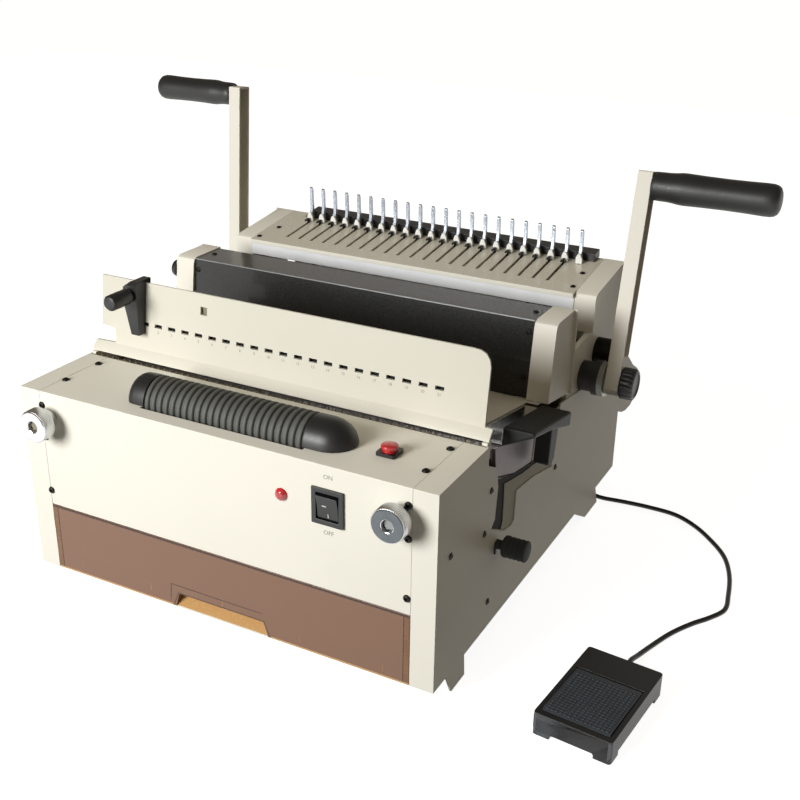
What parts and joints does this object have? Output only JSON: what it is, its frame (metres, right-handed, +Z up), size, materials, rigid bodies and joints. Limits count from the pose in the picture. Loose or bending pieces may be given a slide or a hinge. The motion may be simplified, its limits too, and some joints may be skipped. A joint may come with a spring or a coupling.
{
  "type": "coil binding machine",
  "caption": "Desktop sheet punching and coil or comb binding machine with pull-out die, coil roller, comb opener, two lever handles, chip drawer and foot pedal.",
  "frame": {"origin": "on the table, under the middle of the box around the machine and its pedal, its lead left out", "axes": "+X to the operator's right, +Y to the back of the machine, +Z up"},
  "size_m": [0.6729, 0.522, 0.3919],
  "materials": {
    "cream_paint": "satin powder coat",
    "black_paint": "satin black paint",
    "black_plastic": "moulded",
    "black_rubber": "matt",
    "polished_steel": "polished plate",
    "steel": "ground",
    "die_steel": "ground tool steel",
    "smoked_acrylic": "clear smoked acrylic",
    "red_plastic": "gloss",
    "white_plastic": "moulded"
  },
  "bodies": {
    "machine": {"base_pan": "cream_paint", "left_side_panel": "cream_paint", "right_side_panel": "cream_paint", "front_cover": "cream_paint", "rear_panel": "cream_paint", "left_side_plate": "steel", "right_side_plate": "steel", "throat_strip": "cream_paint", "paper_plate": "cream_paint", "rear_deck": "cream_paint", "guide_plate": "polished_steel", "throat_anvil": "steel", "die_bed": "steel", "punch_cover": "black_paint", "punch_end_left": "cream_paint", "punch_end_right": "cream_paint", "punch_end_dome": "black_plastic", "punch_hub": "black_plastic", "comb_plate": "cream_paint", "prong_comb": "polished_steel", "comb_front_strip": "polished_steel", "comb_rear_cap": "black_plastic", "comb_end_left": "cream_paint", "comb_end_right": "cream_paint", "roller_cap_left": "black_plastic", "roller_cap_right": "black_plastic", "roller_bearing_left": "steel", "roller_bearing_right": "steel", "drive_motor": "steel", "drive_belt": "black_rubber", "button_bezel": "black_plastic", "pilot_lamp": "red_plastic", "switch_housing": "black_plastic", "cord_gland": "black_plastic", "pedal_cord": "black_plastic", "pedal_base": "black_plastic"},
    "drawer": {"chip_drawer": "smoked_acrylic"},
    "die": {"punch_die": "die_steel", "die_pull": "black_plastic"},
    "pins": {"pin_bar": "steel"},
    "press": {"press_bar": "steel"},
    "punch_lever": {"punch_shaft": "steel", "punch_handle_arm": "cream_paint", "punch_handle_grip": "black_plastic", "punch_handle_knob": "black_plastic"},
    "comb_lever": {"comb_shaft": "steel", "comb_handle_arm": "cream_paint", "comb_handle_grip": "black_plastic"},
    "hooks": {"hook_carriage": "white_plastic"},
    "roller": {"roller_sleeve": "black_rubber", "roller_shaft": "steel"},
    "rotor": {"motor_pulley": "steel"},
    "button": {"push_button": "red_plastic"},
    "rocker": {"switch_rocker": "black_plastic"},
    "left_knob": {"front_knob_left": "polished_steel"},
    "right_knob": {"front_knob_right": "polished_steel"},
    "guide": {"edge_guide": "black_plastic"},
    "guide_screw": {"edge_guide_knob": "black_plastic"},
    "plunger": {"side_plunger": "black_rubber"},
    "tread": {"pedal_tread": "black_rubber"}
  },
  "joints": [
    {"name": "punch_swing", "type": "hinge", "parent": "machine", "child": "punch_lever", "pos_m": [-0.01454, 0.06402, 0.171], "axis": [1, 0, 0], "range_deg": [0, 85]},
    {"name": "press_slide", "type": "slide", "parent": "machine", "child": "press", "axis": [0, -0.9848, 0.1736], "range_m": [0, 0.008]},
    {"name": "die_slide", "type": "slide", "parent": "machine", "child": "die", "axis": [1, 0, 0], "range_m": [0, 0.345]},
    {"name": "pin_slide", "type": "slide", "parent": "die", "child": "pins", "axis": [0, -0.9848, 0.1736], "range_m": [0, 0.008]},
    {"name": "comb_swing", "type": "hinge", "parent": "machine", "child": "comb_lever", "pos_m": [-0.01454, 0.10203, 0.182], "axis": [1, 0, 0], "range_deg": [0, 33.5]},
    {"name": "hook_slide", "type": "slide", "parent": "machine", "child": "hooks", "axis": [0, -0.9921, -0.1253], "range_m": [0, 0.0298]},
    {"name": "drawer_slide", "type": "slide", "parent": "machine", "child": "drawer", "axis": [0, -1, 0], "range_m": [0, 0.2]},
    {"name": "roller_spin", "type": "hinge", "parent": "machine", "child": "roller", "pos_m": [-0.01454, -0.20397, 0.191], "axis": [1, 0, 0], "continuous": true},
    {"name": "rotor_spin", "type": "hinge", "parent": "machine", "child": "rotor", "pos_m": [0.07746, -0.18998, 0.128], "axis": [1, 0, 0], "continuous": true},
    {"name": "button_press", "type": "slide", "parent": "machine", "child": "button", "axis": [0, 0, -1], "range_m": [0, 0.0025], "stiffness_N_per_m": 400, "springref_m": -0.002},
    {"name": "rocker_tip", "type": "hinge", "parent": "machine", "child": "rocker", "pos_m": [0.09016, -0.23997, 0.1572], "axis": [1, 0, 0], "range_deg": [-18, 0]},
    {"name": "left_knob_turn", "type": "hinge", "parent": "machine", "child": "left_knob", "pos_m": [-0.17954, -0.24998, 0.168], "axis": [0, 1, 0], "continuous": true},
    {"name": "right_knob_turn", "type": "hinge", "parent": "machine", "child": "right_knob", "pos_m": [0.15046, -0.24998, 0.168], "axis": [0, 1, 0], "continuous": true},
    {"name": "guide_slide", "type": "slide", "parent": "machine", "child": "guide", "axis": [1, 0, 0], "range_m": [-0.02, 0.05]},
    {"name": "guide_screw_turn", "type": "hinge", "parent": "guide", "child": "guide_screw", "pos_m": [-0.16054, -0.16498, 0.253], "axis": [0, 1, 0], "continuous": true},
    {"name": "plunger_pull", "type": "slide", "parent": "machine", "child": "plunger", "axis": [1, 0, 0], "range_m": [0, 0.008], "stiffness_N_per_m": 400, "springref_m": -0.002},
    {"name": "tread_press", "type": "hinge", "parent": "machine", "child": "tread", "pos_m": [0.29207, -0.15955, 0.0175], "axis": [0.9952, -0.0976, 0], "range_deg": [0, 5], "stiffness_Nm_per_rad": 2, "springref_deg": -2.86}
  ],
  "couplings": [
    {"joint": "press_slide", "follows": "punch_swing", "m_per_rad": 0.00539},
    {"joint": "pin_slide", "follows": "punch_swing", "m_per_rad": 0.00539},
    {"joint": "hook_slide", "follows": "comb_swing", "m_per_rad": 0.0509},
    {"joint": "rotor_spin", "follows": "roller_spin", "ratio": 1.5714}
  ]
}
